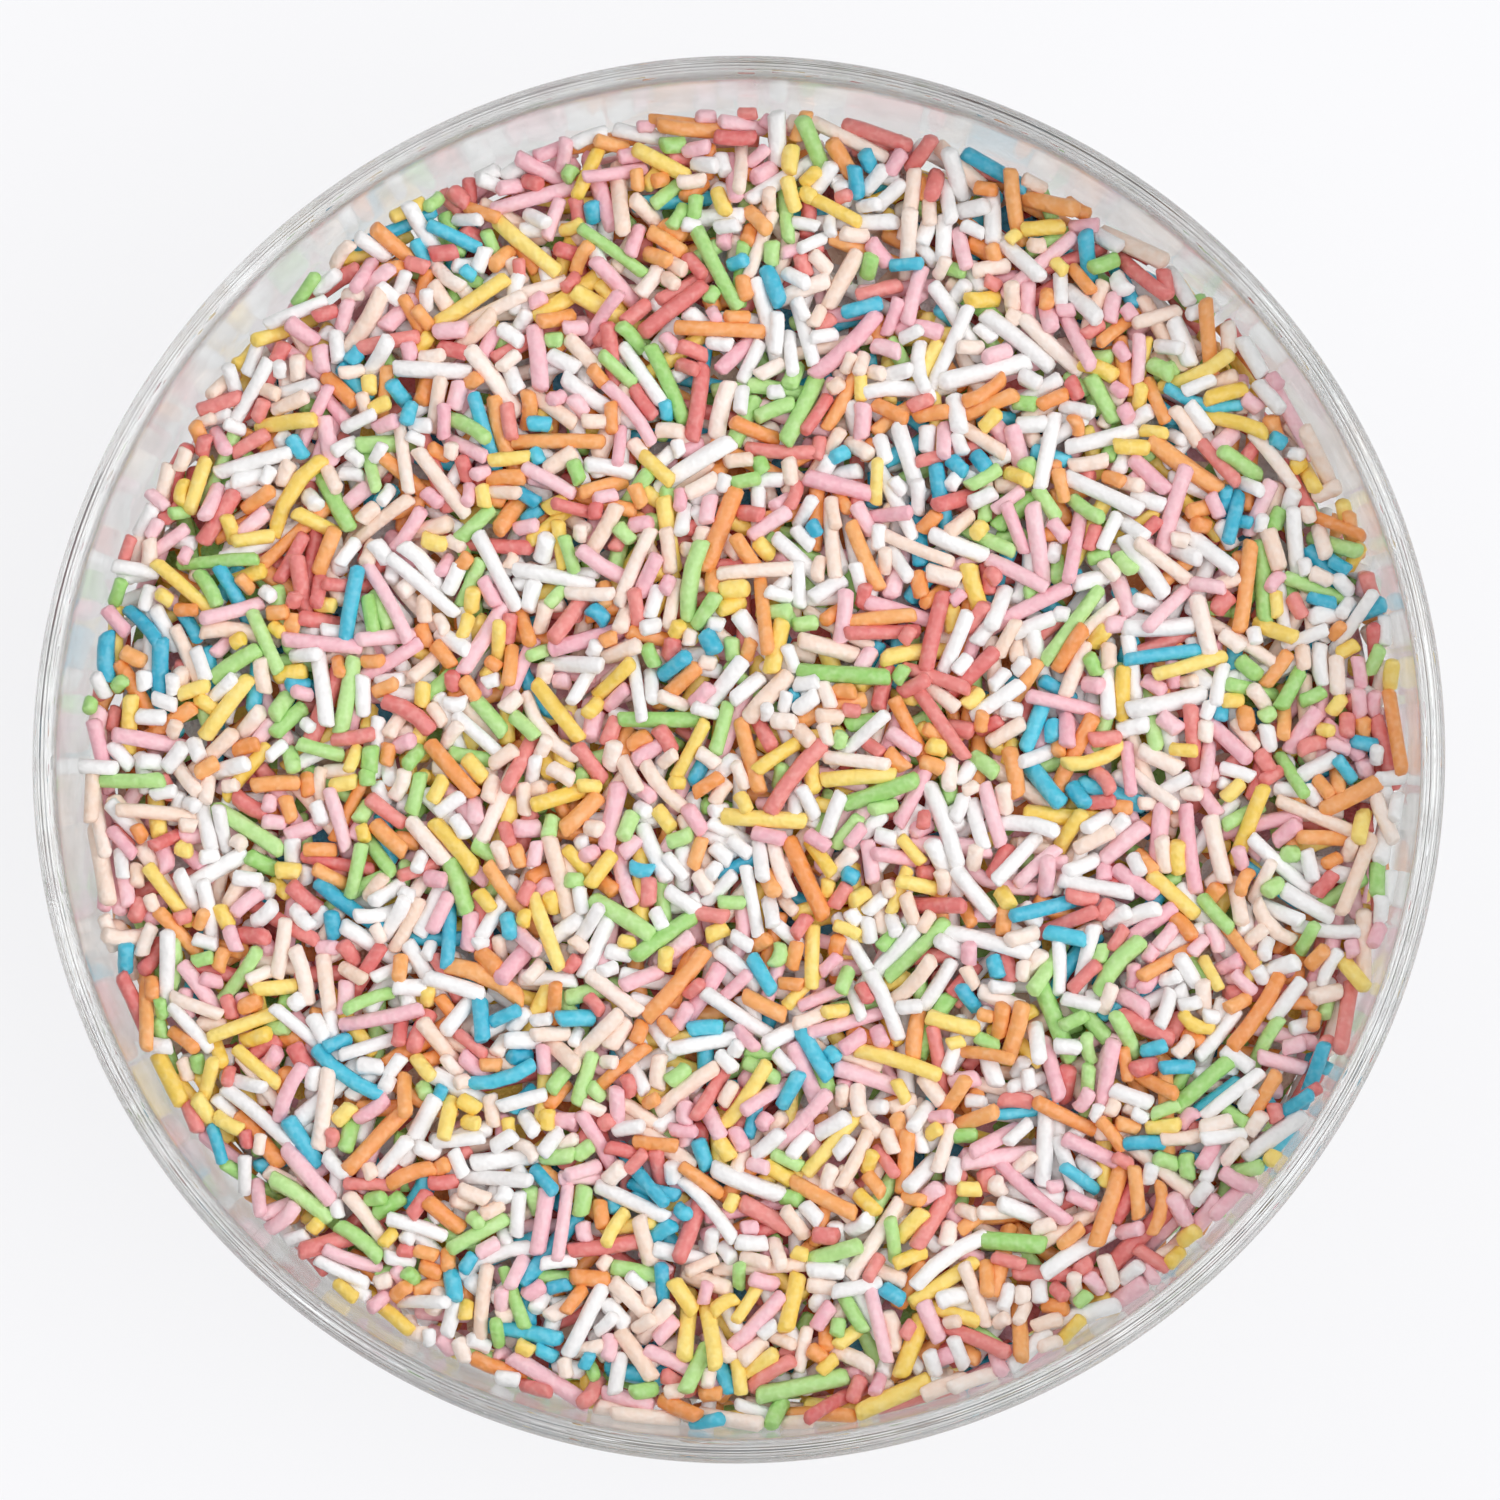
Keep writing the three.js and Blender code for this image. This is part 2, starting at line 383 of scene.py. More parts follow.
def drawn_in(arc, distance):
    """An arc of (radius, height) points moved sideways, towards the axis and up."""
    line = np.array(arc)
    along = np.gradient(line, axis=0)
    along /= np.hypot(along[:, :1], along[:, 1:])
    return line + distance * np.stack([-along[:, 1], along[:, 0]], axis=1)


lining_line = drawn_in(inner_wall, LINING)
heights = np.array(inner_wall)[:, 1:]
core_line = drawn_in(inner_wall, np.interp(heights, TOUCHING, (LINING, -REACH, -REACH, LINING)))
core_top = FILL_EDGE - TOP_LAYER
core_side = [tuple(point) for point in core_line if point[1] < core_top]
print("the core is", round(2 * core_side[-1][0] / MM, 1), "mm wide at its top")

# %% Make the core
CORE_RINGS = 14
CORE_STEPS = 96

# The lid is drawn level with the mouth, so that it can be told from the side, and then sunk.
core_edge = core_side[-1][0]
lid = [(core_edge * (1 - k / CORE_RINGS), BOWL_HEIGHT) for k in range(1, CORE_RINGS + 1)]
core_mesh = spun([(0, BASE_THICKNESS + LINING), *core_side, *lid], CORE_STEPS)
for v in core_mesh.verts:
    if v.co.z > BOWL_HEIGHT - MM:
        v.co.z = fill_height(v.co.x, v.co.y) - TOP_LAYER
heap_core = as_object("heap_core", core_mesh)
print("core of", len(heap_core.data.polygons), "faces")

# %% [markdown]
# ## One strand of sugar
#
# A sprinkle is extruded from sugar paste, dried and broken up, so it is a short rod with worn
# edges, a little lumpy and often slightly bent. It is repeated thousands of times, so it has
# few faces: a cylinder of eight sides with its two rims bevelled and two cuts across, so that
# it can bend. A few shapes are made, each with its own lumps and its own slant at the ends.
# They have a radius of 1 here, and are sized when they are laid.

# %% Model a strand
STRAND_SIDES = 8
STRAND_SHAPES = 9
UNIT_LENGTH = 6.0  # of a strand of radius 1
WORN_EDGE = 0.32
LUMPS = 0.07
SLANT = 0.3
CUTS = (-UNIT_LENGTH / 6, UNIT_LENGTH / 6)
CUT_WIDTH = 0.001  # a corner nearer to a cut than this lies on it
RIM_RISE = 0.1  # an edge that rises less than this lies on a rim


def strand_shape(random):
    """One strand as a bmesh, along Z, with a radius of about 1."""
    bm = bmesh.new()
    bmesh.ops.create_cone(
        bm, cap_ends=True, segments=STRAND_SIDES, radius1=1, radius2=1, depth=UNIT_LENGTH
    )
    rims = [e for e in bm.edges if abs(e.verts[0].co.z - e.verts[1].co.z) < RIM_RISE]
    bmesh.ops.bevel(
        bm, geom=rims, offset=WORN_EDGE, segments=1, profile=0.5, affect="EDGES", material=-1
    )
    for height in CUTS:
        bmesh.ops.bisect_plane(
            bm, geom=bm.verts[:] + bm.edges[:] + bm.faces[:],
            plane_co=(0, 0, height), plane_no=(0, 0, 1), dist=CUT_WIDTH,
        )
    slants = random.uniform(-SLANT, SLANT, (2, 2))
    for v in bm.verts:
        swell = 1 + random.uniform(-LUMPS, LUMPS)
        v.co.x *= swell
        v.co.y *= swell
        if abs(v.co.z) > UNIT_LENGTH / 2 - 2 * WORN_EDGE:
            slant = slants[int(v.co.z > 0)]
            v.co.z += slant[0] * v.co.x + slant[1] * v.co.y
    bmesh.ops.recalc_face_normals(bm, faces=bm.faces[:])
    return bm


# %% Keep the strands as arrays
CAP_NORMAL = 0.85  # a face whose normal rises more than this is an end of the rod
CAP_CENTRES = ((0.25, 0.93), (0.75, 0.93))  # of the lower and the upper end, on the map
CAP_SIZE = (0.1, 0.05)
SIDE_FROM = 0.02  # where the rod's unrolled side starts on the map
SIDE_SPAN = 0.84


def unrolled(face, v):
    """Where a corner of a strand's face goes on its square of the map: round, and along."""
    centre = face.calc_center_median()
    along = v.co.z / UNIT_LENGTH + 0.5
    if abs(face.normal.z) > CAP_NORMAL:
        cap = CAP_CENTRES[int(centre.z >= 0)]
        return cap[0] + CAP_SIZE[0] * v.co.x, cap[1] + CAP_SIZE[1] * v.co.y
    middle = math.atan2(centre.y, centre.x)
    turn = math.atan2(v.co.y, v.co.x)
    turn = middle + (turn - middle + math.pi) % (2 * math.pi) - math.pi
    return 0.5 + turn / (2 * math.pi), SIDE_FROM + SIDE_SPAN * along


def strand_arrays(bm):
    """A strand's points, faces and map, with each point's place along the rod as a share."""
    bm.verts.ensure_lookup_table()
    points = np.array([v.co for v in bm.verts])
    straight = UNIT_LENGTH / 2 - WORN_EDGE
    share = np.clip(points[:, 2] / straight, -1, 1)
    kept = {
        "across": points[:, :2],
        "share": share,
        "beyond": points[:, 2] - share * straight,
        "faces": [[v.index for v in f.verts] for f in bm.faces],
        "map": np.array([unrolled(f, v) for f in bm.faces for v in f.verts]),
    }
    bm.free()
    return kept


random = np.random.RandomState(SEED)
strands = [strand_arrays(strand_shape(random)) for _ in range(STRAND_SHAPES)]
corners_each = sum(len(f) - 2 for f in strands[0]["faces"])
print("a strand has", len(strands[0]["faces"]), "faces,", corners_each, "triangles")

# %% [markdown]
# ## Pouring the heap
#
# Strands that are scattered at random in a volume pass through each other, and a rigid body
# simulation of thousands of them takes too long. So the heap is poured onto a height map: a
# grid that holds, for each place, the height of whatever is on top there. It starts as the
# inside of the glass, a little deeper where the strands are to reach into it. Each strand is
# tried in a few poses near where it drops. In each pose it tips until it rests on two points of
# the ground, on either side of its middle, and the pose in which it comes to lie lowest is kept,
# as a real strand rolls into a hollow. The ground is then raised by the strand, and the next
# one falls. A strand counts as a little smaller than it is, so that the heap is as dense as a
# shaken one, and the outermost reach just into the glass.

# %% The inside of the glass as ground
CELL = 0.2 * MM
GRID_HALF = 245  # cells from the middle to the edge of the grid
OUT_OF_BOUNDS = 1.0
PRESSED = 0.22 * MM  # how much deeper the ground lies where the core touches the glass
HEAPED = 0.3 * MM  # the strands lie a little uneven, so their level is set a little higher

grid_line = np.arange(-GRID_HALF, GRID_HALF + 1) * CELL
grid_radius = np.hypot(grid_line[:, None], grid_line[None, :])


def height_over(line, radius):
    """The height of a line of (radius, height) points at a distance from the axis."""
    return np.interp(radius, *np.transpose(line), right=OUT_OF_BOUNDS)


glass_skin = drawn_in(inner_wall, np.interp(heights, TOUCHING, (0, -PRESSED, -PRESSED, 0)))
ground = height_over(glass_skin, grid_radius)
full = fill_height(grid_line[:, None], grid_line[None, :]) + HEAPED
lined = np.minimum(full, height_over(lining_line, grid_radius))
print("ground of", ground.shape, "cells, lined up to", round(float(lined.max()) / MM, 1), "mm")

# %% Let strands come to rest
ALONG = np.linspace(-1, 1, 14)  # an even number, so that none is at the middle
ACROSS = np.array([-0.85, -0.45, 0, 0.45, 0.85])
HALF_COUNT = len(ALONG) // 2


def cells_of(places):
    """The rows or columns of the grid in which places lie."""
    return np.clip(np.rint(places / CELL).astype(int) + GRID_HALF, 0, 2 * GRID_HALF)


def resting(x, y, yaw, length, radius):
    """The height of the middle and the slope with which strands come to lie on the ground."""
    along = ALONG * length[:, None] / 2
    across = ACROSS * radius[:, None]
    cos, sin = np.cos(yaw)[:, None, None], np.sin(yaw)[:, None, None]
    px = x[:, None, None] + cos * along[:, :, None] - sin * across[:, None, :]
    py = y[:, None, None] + sin * along[:, :, None] + cos * across[:, None, :]
    round_side = np.sqrt(radius[:, None] ** 2 - across**2)[:, None, :]
    held = (ground[cells_of(px), cells_of(py)] + round_side).max(axis=2)
    left, right = held[:, :HALF_COUNT, None], held[:, None, HALF_COUNT:]
    near, far = along[:, :HALF_COUNT, None], along[:, None, HALF_COUNT:]
    middle = ((left * far - right * near) / (far - near)).reshape(len(x), HALF_COUNT**2)
    slope = ((right - left) / (far - near)).reshape(len(x), HALF_COUNT**2)
    best = middle.argmax(axis=1)
    each = np.arange(len(x))
    return middle[each, best], slope[each, best]


# %% Raise the ground under a strand


def cover(x, y, z, yaw, slope, length, radius):
    """Raises the ground to the top of a strand that has come to rest."""
    lean = 1 / math.hypot(1, slope)
    half = length / 2 * lean
    reach = int((half + radius) / CELL) + 1
    i, j = round(x / CELL) + GRID_HALF, round(y / CELL) + GRID_HALF
    rows = slice(max(0, i - reach), i + reach + 1)
    columns = slice(max(0, j - reach), j + reach + 1)
    dx, dy = grid_line[rows, None] - x, grid_line[None, columns] - y
    along = dx * math.cos(yaw) + dy * math.sin(yaw)
    across = dy * math.cos(yaw) - dx * math.sin(yaw)
    inside = (np.abs(across) < radius) & (np.abs(along) < half)
    top = z + slope * along + np.sqrt(np.maximum(0, radius**2 - across**2)) / lean
    patch = ground[rows, columns]
    patch[inside] = np.maximum(patch, top)[inside]


# %% Let a handful of strands fall
STRAND_LENGTHS = (1.7 * MM, 6.8 * MM)
CRUMB_LENGTHS = (1.2 * MM, 2.6 * MM)  # broken bits that trickle into the gaps
SHORT_BIAS = 1.4  # above 1, short strands are commoner than long ones
STRAND_RADIUS = 0.58 * MM
RADIUS_SPREAD = 0.05 * MM
PACKING = 0.87  # the share of its size with which a strand counts
POSES = 10  # in which each strand is tried
ROLL = 1.3 * MM  # how far a strand rolls from where it drops
HASTE = 0.3 * MM  # how far above the lowest pose it may stay
STEEPEST = 0.9  # the slope at which it would slide off
STAND_OUT = 0.8 * MM  # how far it may reach over the level
WALL_REACH = 3 * MM  # so near the glass, strands tend to lie along it
WALL_ALIGNED = 0.2  # by how many radians they miss that
SLIDE = 1.2 * MM  # so near the glass, a strand slides until it touches


def against_glass(x, y, yaw, length, radius):
    """Places near the glass, moved outwards or inwards until the strand there touches it."""
    distance = np.hypot(x, y)
    held = ground[cells_of(x), cells_of(y)] + radius
    wall = np.interp(held, *np.transpose(glass_skin)[::-1])
    turned = yaw - np.arctan2(y, x)
    reach = np.abs(np.cos(turned)) * length / 2 + np.abs(np.sin(turned)) * radius
    slide = wall - reach - distance
    moved = 1 + np.where(np.abs(slide) < SLIDE, slide / distance, 0)
    return x * moved, y * moved


def fallen(spots, level, lengths, random):
    """Strands that drop on spots, one row each, and whether they find room there."""
    count = len(spots)
    low, high = lengths
    length = low + (high - low) * random.uniform(size=count) ** SHORT_BIAS
    radius = STRAND_RADIUS + RADIUS_SPREAD * np.clip(random.normal(size=count), -2, 2)
    x, y = (spots.T[:, :, None] + ROLL * random.normal(size=(2, count, POSES))).reshape(2, -1)
    along_wall = np.arctan2(y, x) + math.pi / 2 + WALL_ALIGNED * random.normal(size=len(x))
    at_wall = np.hypot(x, y) > INNER_RADIUS - WALL_REACH * random.uniform(size=len(x))
    yaw = np.where(at_wall, along_wall, random.uniform(0, math.pi, len(x)))
    real_length, real_radius = np.repeat(length, POSES), np.repeat(radius, POSES)
    x, y = against_glass(x, y, yaw, real_length * PACKING, real_radius * PACKING)
    z, slope = resting(x, y, yaw, real_length * PACKING, real_radius * PACKING)
    over = z + real_radius - level[cells_of(x), cells_of(y)]
    # A pose that is too steep counts as a metre higher.
    price = over + HASTE * random.uniform(size=len(z)) + (np.abs(slope) > STEEPEST)
    k = price.reshape(count, POSES).argmin(axis=1) + POSES * np.arange(count)
    x, y, yaw = x[k], y[k], yaw[k]
    shortened = length * PACKING / np.hypot(1, slope[k])
    z, slope = resting(x, y, yaw, shortened, radius * PACKING)
    fits = (z + radius < level[cells_of(x), cells_of(y)] + STAND_OUT) & (np.abs(slope) < STEEPEST)
    return np.stack([x, y, z, yaw, slope, length, radius], axis=1), fits


# %% Pour
HANDFUL = 60  # strands at most that fall at the same time
APART = 10 * MM  # between them, so that they don't meet
LEAST_ROOM = 0.45 * MM  # under the level, where a strand is tried
PATIENCE = 2  # how many strands are tried at a place before it is given up
NEAR = 2  # cells to every side that are given up with it
NEARLY_NONE = 40  # cells with room that are left over


def pour(level, lengths, random):
    """Drops strands until hardly any finds room below a level. Each row is one strand."""
    strands_at_rest = []
    patience = np.full(ground.shape, PATIENCE)
    while True:
        low = np.flatnonzero((level - ground > LEAST_ROOM) & (patience > 0))
        if len(low) < NEARLY_NONE:
            break
        cells = np.stack(np.divmod(random.choice(low, HANDFUL), len(grid_line)), axis=1)
        gaps = CELL * np.hypot(*(cells[:, None] - cells[None]).transpose(2, 0, 1))
        cells = cells[np.tril(gaps < APART, -1).sum(axis=1) == 0]
        rows, fits = fallen(grid_line[cells], level, lengths, random)
        for row in rows[fits]:
            cover(*row[:5], *(row[5:] * PACKING))
        for i, j in cells[~fits]:
            patience[i - NEAR:i + NEAR + 1, j - NEAR:j + NEAR + 1] -= 1
        strands_at_rest += list(rows[fits])
    print(len(strands_at_rest), "strands at rest")
    return strands_at_rest


lining = pour(lined, STRAND_LENGTHS, random)
ground = np.maximum(ground, full - TOP_LAYER)
top = pour(full, STRAND_LENGTHS, random)
crumbs = pour(full, CRUMB_LENGTHS, random)
heap = np.array(lining + top + crumbs)
print(len(heap), "strands in all, after", round(time.perf_counter() - started, 1), "s")

# %% [markdown]
# ## Colours of the sugar
#
# Each colour is its own piece with its own paste. A colour is given as two shades, a deeper and
# a paler one, and each strand has its own place between them, because batches of paste differ.
# The shares follow the photo, where four strands in ten are white or creamy.

# %% Name the colours
KINDS = {  # share, deeper shade, paler shade
    "white": (0.235, linear(230, 226, 224), linear(250, 248, 246)),
    "cream": (0.160, linear(240, 200, 172), linear(251, 234, 222)),
    "pink": (0.145, linear(234, 154, 168), linear(248, 198, 204)),
    "coral": (0.100, linear(208, 78, 76), linear(232, 126, 116)),
    "orange": (0.115, linear(232, 122, 44), linear(246, 164, 86)),
    "yellow": (0.095, linear(239, 188, 52), linear(252, 220, 106)),
    "green": (0.095, linear(128, 192, 80), linear(182, 226, 134)),
    "blue": (0.050, linear(12, 146, 184), linear(62, 192, 218)),
}
names = list(KINDS)
shares = np.array([KINDS[name][0] for name in names])
kind_of = random.choice(len(names), size=len(heap), p=shares / shares.sum())
print({name: int((kind_of == k).sum()) for k, name in enumerate(names)})

# %% Lay copies of a strand
SLIGHT_BEND = 0.012
STRONG_BEND = 0.05
BENT_SHARE = 0.15
BENT_OVER = 0.4  # so that a bent strand's middle and its ends lie on either side of its axis


def laid(strand, rows, random):
    """The points of one strand shape, once for each row of the heap."""
    x, y, z, yaw, slope, length, radius = rows.T[:, :, None]
    share = strand["share"][None, :]
    half = length / 2 - WORN_EDGE * radius
    along = half * share + strand["beyond"] * radius
    bend = np.where(random.uniform(size=length.shape) < BENT_SHARE, STRONG_BEND, SLIGHT_BEND)
    bend = length * bend * random.normal(size=length.shape)
    side = strand["across"][None, :, 0] * radius
    up = strand["across"][None, :, 1] * radius
    roll = random.uniform(0, 2 * math.pi, length.shape)
    side, up = side * np.cos(roll) - up * np.sin(roll), side * np.sin(roll) + up * np.cos(roll)
    side = side + bend * (share * share - BENT_OVER)
    lean = 1 / np.hypot(1, slope)
    level, lift = along * lean - up * lean * slope, along * lean * slope + up * lean
    return np.stack(
        [
            x + level * np.cos(yaw) - side * np.sin(yaw),
            y + level * np.sin(yaw) + side * np.cos(yaw),
            z + lift,
        ],
        axis=2,
    )


# %% Join the copies of one colour
MARGIN = 0.06  # round each strand's square of the map


def strand_piece(name, rows, random):
    """One mesh of all strands of a colour, with each strand's tone and its square of the map."""
    shape_of = random.randint(STRAND_SHAPES, size=len(rows))
    across = math.ceil(math.sqrt(len(rows)))
    points, faces, tones, map_points = [], [], [], []
    count = placed = 0
    for k, strand in enumerate(strands):
        mine = rows[shape_of == k]
        copies = laid(strand, mine, random)
        tone = random.uniform(size=len(mine))
        each = copies.shape[1]
        points.append(copies.reshape(-1, 3))
        tones.append(np.repeat(tone, each))
        for n in range(len(mine)):
            faces += [[count + i for i in face] for face in strand["faces"]]
            count += each
            square = np.array(divmod(placed + n, across))
            map_points.append((square + MARGIN + (1 - 2 * MARGIN) * strand["map"]) / across)
        placed += len(mine)
    mesh = bpy.data.meshes.new(name)
    mesh.from_pydata(np.concatenate(points), [], faces)
    mesh.shade_smooth()
    mesh.attributes.new("tone", "FLOAT", "POINT").data.foreach_set("value", np.concatenate(tones))
    mesh.uv_layers.new(name="OFBake").uv.foreach_set("vector", np.concatenate(map_points).ravel())
    made = bpy.data.objects.new(name, mesh)
    bpy.context.scene.collection.objects.link(made)
    return made


# %% [markdown]
# ## Sugar paste
#
# The paste is opaque and matt, with a faint glaze. It gets fine grain in the roughness and the
# bump, powder that pales it in patches, and the strand's own tone from the attribute that was
# written above.

# %% Mix the sugar
GRAIN = 0.6 * MM
GRAIN_DEPTH = 0.2 * MM
TONED = 0.7  # how much the strand's tone pales the paste
GRAINED = 0.8  # how much the grain pales it
DEEPENED = 0.25  # how much deeper it is all over
POWDER = 0.1
POWDER_EDGE = 2.5  # above 1, patches of powder have sharper edges
GLAZED = 0.3  # the least roughness
DULLED = 0.35  # what the grain adds to it


def sugar(name, deep, pale):
    made = bpy.data.materials.new("sugar_" + name)
    sheet = Sheet(made)
    tone = sheet.make("ShaderNodeAttribute", {"attribute_name": "tone"}, output="Fac")
    crust = sheet.noise(GRAIN, detail=1.0, roughness=0.7)
    paleness = tone * TONED + crust * GRAINED - DEEPENED
    paste = sheet.mix(paleness.clamped(), deep, pale)
    powder = ((crust - 0.5).clamped() * POWDER_EDGE).clamped()
    colour = sheet.mix(powder * POWDER, paste, linear(250, 246, 242))
    surface = sheet.make(
        "ShaderNodeBsdfPrincipled", {},
        {
            "Base Color": colour,
            "Roughness": GLAZED + DULLED * crust,
            "Normal": sheet.bump(crust, GRAIN_DEPTH, strength=0.7),
        },
    )
    sheet.make("ShaderNodeOutputMaterial", {}, {"Surface": surface})
    return made


# %% Make a piece of each colour
sprinkle_pieces = []
for k, name in enumerate(names):
    piece = strand_piece("sprinkles_" + name, heap[kind_of == k], random)
    piece.data.materials.append(sugar(name, *KINDS[name][1:]))
    sprinkle_pieces.append(piece)
    print(piece.name, "has", len(piece.data.loop_triangles), "triangles")

# %% [markdown]
# ## The core's finish
#
# The core shows in small chinks between the strands, and behind them where it touches the glass, so
# it gets a mosaic of the same colours in strand-sized cells, darkened with brown as painted shade, as
# in a gap.

# %% Colour the core
MOSAIC_SIZE = 1.6 * MM
GAP_SIZE = 0.7 * MM
GAP_DEPTH = 0.6 * MM
PAINTED_SHADE = 0.3  # the share of a dark brown mixed in as painted shade


def mosaic():
    made = bpy.data.materials.new("sugar_in_the_dark")
    sheet = Sheet(made)
    place = sheet.make("ShaderNodeTexCoord", output="Object")
    cells = sheet.make(
        "ShaderNodeTexVoronoi", {}, {"Vector": place, "Scale": 1 / MOSAIC_SIZE}, output="Color"
    )
    pick = sheet.make("ShaderNodeSeparateColor", {}, {"Color": cells}, output="Red")
    places = np.concatenate([[0], np.cumsum(shares / shares.sum())[:-1]])
    steps = [(step, KINDS[name][1]) for step, name in zip(places, names)]
    colours = sheet.make("ShaderNodeValToRGB", {"steps": steps}, {"Fac": pick})
    # Painted shade: the mosaic's colours are darkened towards brown, as deep in a gap.
    shaded = sheet.mix(PAINTED_SHADE, colours, linear(90, 50, 40))
    gaps = sheet.noise(GAP_SIZE)
    surface = sheet.make(
        "ShaderNodeBsdfPrincipled", {},
        {"Base Color": shaded, "Roughness": 0.6, "Normal": sheet.bump(gaps, GAP_DEPTH, strength=0.8)},
    )
    sheet.make("ShaderNodeOutputMaterial", {}, {"Surface": surface})
    return made


heap_core.data.materials.append(mosaic())

# %% Hang every piece on the frame
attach(glass_bowl, "root")
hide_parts("bowl")
for piece in [heap_core, *sprinkle_pieces]:
    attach(piece, "root")
    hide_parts("sprinkles")

# %% [markdown]
# ## Floor and light
#
# The bowl stands on a white surface that is lit from all round, and glows a little itself, so that
# hardly any real shadow shows; what is seen of a shadow is a painted shadow, a grey oval patch in the
# floor's emission under the bowl. Clear glass only shows what it bends, and in an even white room it
# would vanish. So the sky is darker on two sides of the room and has one bright window, and the rim
# picks these up as its grey bands. Neither the sky nor the floor is sampled as a lamp: rays find so
# large a light by themselves, which is faster.

# %% Lay the floor
FLOOR_RADIUS = 3.0  # metres
FLOOR_STEPS = 96
FLOOR_GLOW = 0.8
CLOUD_SIZE = 60 * MM
PAINTED_SHADOW_RADII = (30 * MM, 46 * MM)  # painted shadow: grey within the first radius, bright beyond the second
SHADOW_PATCH_TURN = math.radians(64)
SHADOW_PATCH_WIDTH = 0.65  # across, as a share of its length


def floor_finish():
    made = bpy.data.materials.new("white_table")
    sheet = Sheet(made)
    cloudy = sheet.noise(CLOUD_SIZE)
    colour = sheet.mix(cloudy, linear(106, 106, 108), linear(110, 110, 112))
    place = sheet.make("ShaderNodeTexCoord", output="Object")
    turned = sheet.make(
        "ShaderNodeMapping", {"vector_type": "TEXTURE"},
        {"Vector": place, "Rotation": (0, 0, SHADOW_PATCH_TURN), "Scale": (1, SHADOW_PATCH_WIDTH, 1)},
    )
    away = sheet.make("ShaderNodeVectorMath", {"operation": "LENGTH"}, {0: turned}, output="Value")
    # Painted shadow: the emission is grey in an oval under the bowl and bright beyond it.
    outside_painted_shadow = ((away - PAINTED_SHADOW_RADII[0]) * (1 / (PAINTED_SHADOW_RADII[1] - PAINTED_SHADOW_RADII[0]))).clamped()
    glow_with_painted_shadow = sheet.mix(outside_painted_shadow, linear(140, 142, 146), linear(250, 250, 252))
    surface = sheet.make(
        "ShaderNodeBsdfPrincipled", {},
        {
            "Base Color": colour,
            "Roughness": 0.8,
            "Emission Color": glow_with_painted_shadow,
            "Emission Strength": FLOOR_GLOW,
        },
    )
    sheet.make("ShaderNodeOutputMaterial", {}, {"Surface": surface})
    made.cycles.emission_sampling = "NONE"
    return made


table_mesh = bmesh.new()
bmesh.ops.create_circle(table_mesh, cap_ends=True, segments=FLOOR_STEPS, radius=FLOOR_RADIUS)
table = as_object("table", table_mesh)
table.data.materials.append(floor_finish())

# %% Light the room
SKY_STRENGTH = 1.38
SHADE_HEIGHT = 0.5  # up to where the room is darker low down, where straight up is 1
HORIZON_SHADE = 0.15  # how much darker the horizon is all round
SIDE_SHADE = 0.8  # how much darker it is on two sides
SHADED_SIDES = (44, 230)  # degrees from the X axis
SIDE_EDGE = 0.15  # the cosine of a side's half width
SIDE_SHARPNESS = 2.5
WINDOW = (0.7, 0.0, 0.7)  # the direction in which the sky is brightest
WINDOW_EDGE = 0.8  # the cosine of its half width
WINDOW_STRENGTH = 3.2

world = bpy.data.worlds.new("studio")
bpy.context.scene.world = world
sky = Sheet(world)
direction = sky.make("ShaderNodeTexCoord", output="Generated")
height = sky.make("ShaderNodeSeparateXYZ", {}, {"Vector": direction}, output="Z")
low_down = (1 - height * (1 / SHADE_HEIGHT)).clamped()


def facing(axis):
    """The cosine of the angle between a place in the sky and an axis."""
    return sky.make(
        "ShaderNodeVectorMath", {"operation": "DOT_PRODUCT"}, {0: direction, 1: axis}, output="Value"
    )


def side(angle):
    """1 where the sky lies on one side of the room, 0 where it doesn't."""
    axis = (math.cos(math.radians(angle)), math.sin(math.radians(angle)), 0)
    return ((facing(axis) - SIDE_EDGE) * SIDE_SHARPNESS).clamped()


towards_window = facing(tuple(Vector(WINDOW).normalized()))
window = ((towards_window - WINDOW_EDGE) * (1 / (1 - WINDOW_EDGE))).clamped()
sides = side(SHADED_SIDES[0]) + side(SHADED_SIDES[1])
shade = (low_down * HORIZON_SHADE + sides * SIDE_SHADE).clamped()
sky_light = sky.make(
    "ShaderNodeBackground", {},
    {
        "Color": linear(250, 251, 253),
        "Strength": (1 - shade) * SKY_STRENGTH + window * WINDOW_STRENGTH,
    },
)
sky.make("ShaderNodeOutputWorld", {}, {"Surface": sky_light})
world.cycles.sampling_method = "NONE"
print("lit, with", len(sky.tree.nodes), "nodes in the sky")

# %% [markdown]
# ## Camera
#
# The photo looks down from almost straight above. The circle where the sugar meets the glass
# lies about ten millimetres below the mouth, and it is seen shifted towards the bottom right
# of the rim, which gives the tilt. The lens and the aim are then solved so that the rim has the
# size and place that it has in the photo.

# %% Set up the camera
PHOTO_SIDE = 1500
RIM_CENTRE_PX = (738.9, 759.7)
RIM_RADIUS_PX = 706.5
CAMERA_DISTANCE = 0.56
CAMERA_TILT = math.radians(6.3)
TILT_TOWARDS = math.radians(-63.5)  # bottom right of the photo
SENSOR = 36.0
AIM_ROUNDS = 4
RIM_POINTS = 360

back = Vector((
    math.sin(CAMERA_TILT) * math.cos(TILT_TOWARDS),
    math.sin(CAMERA_TILT) * math.sin(TILT_TOWARDS),
    math.cos(CAMERA_TILT),
))
right = Vector((0, 1, 0)).cross(back).normalized()
up = back.cross(right)
mouth = Vector((0, 0, BEAD_HEIGHT))
camera_data = bpy.data.cameras.new("camera")
camera_data.sensor_width = SENSOR
camera = bpy.data.objects.new("camera", camera_data)
bpy.context.scene.collection.objects.link(camera)
bpy.context.scene.camera = camera

# %% Aim it


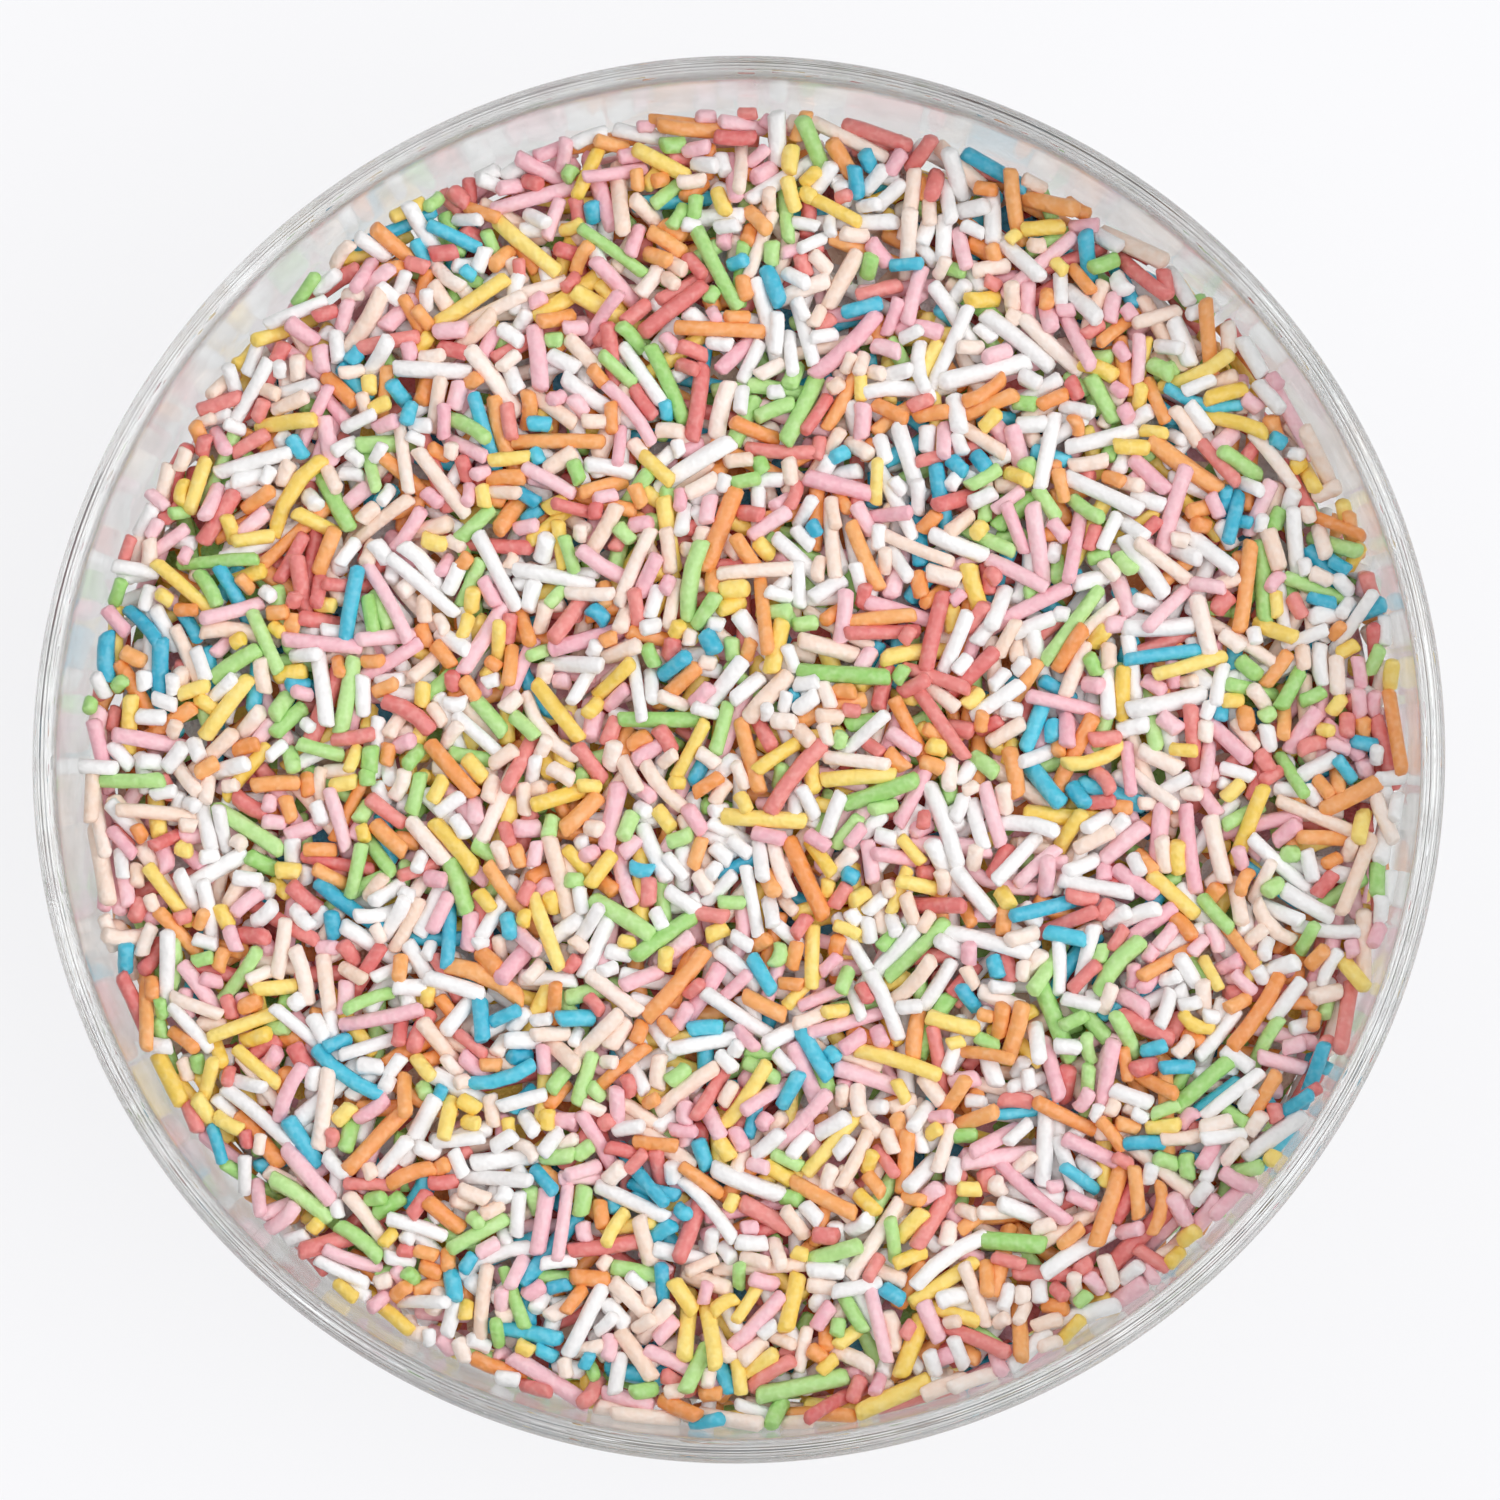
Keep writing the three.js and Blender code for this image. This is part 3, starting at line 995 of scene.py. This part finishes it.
def seen_rim(place, focal):
    """The middle and half width in pixels of the rim, as seen from a place."""
    turns = np.linspace(0, 2 * math.pi, RIM_POINTS, endpoint=False)
    rim = [Vector((MOUTH_RADIUS * math.cos(t), MOUTH_RADIUS * math.sin(t), mouth.z)) for t in turns]
    rays = [point - place for point in rim]
    px = np.array([(ray.dot(right), ray.dot(up)) / np.float64(-ray.dot(back)) for ray in rays])
    px *= focal
    middle = (px.max(axis=0) + px.min(axis=0)) / 2
    return middle, np.ptp(px[:, 0]) / 2


focal_px = RIM_RADIUS_PX * CAMERA_DISTANCE / MOUTH_RADIUS
place = mouth + back * CAMERA_DISTANCE
wanted_middle = np.array([RIM_CENTRE_PX[0] - PHOTO_SIDE / 2, PHOTO_SIDE / 2 - RIM_CENTRE_PX[1]])
for _ in range(AIM_ROUNDS):
    middle, half_width = seen_rim(place, focal_px)
    off = (middle - wanted_middle) * CAMERA_DISTANCE / focal_px
    place = place + right * off[0] + up * off[1]
    focal_px *= RIM_RADIUS_PX / half_width
camera_data.lens = focal_px * SENSOR / PHOTO_SIDE
turn = Matrix((right, up, back)).transposed()
camera.matrix_world = Matrix.Translation(place) @ turn.to_4x4()
camera_data.clip_start = 0.01
print("lens", round(camera_data.lens, 1), "mm, rim at", middle, "half width", half_width)

# %% [markdown]
# ## Light paths and colours
#
# A ray that enters the bead is thrown from wall to wall many times before it comes out, so it
# needs more bounces than usual. Between strands of sugar, light soon runs out. Colours are
# shown as they are, but with a gamma that lifts the shades, as a bright product photo does.

# %% Let light go far enough
GLASS_BOUNCES = 32
SUGAR_BOUNCES = 8

cycles = bpy.context.scene.cycles
cycles.max_bounces = GLASS_BOUNCES
cycles.glossy_bounces = GLASS_BOUNCES
cycles.transmission_bounces = GLASS_BOUNCES
cycles.diffuse_bounces = SUGAR_BOUNCES
print("up to", cycles.max_bounces, "bounces")

# %% Show the colours
GAMMA = 1.32

bpy.context.scene.view_settings.view_transform = "Standard"
bpy.context.scene.view_settings.gamma = GAMMA
print("shown with a gamma of", GAMMA)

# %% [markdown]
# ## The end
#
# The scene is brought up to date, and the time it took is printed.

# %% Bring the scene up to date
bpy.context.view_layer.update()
print("made in", round(time.perf_counter() - started, 1), "s")
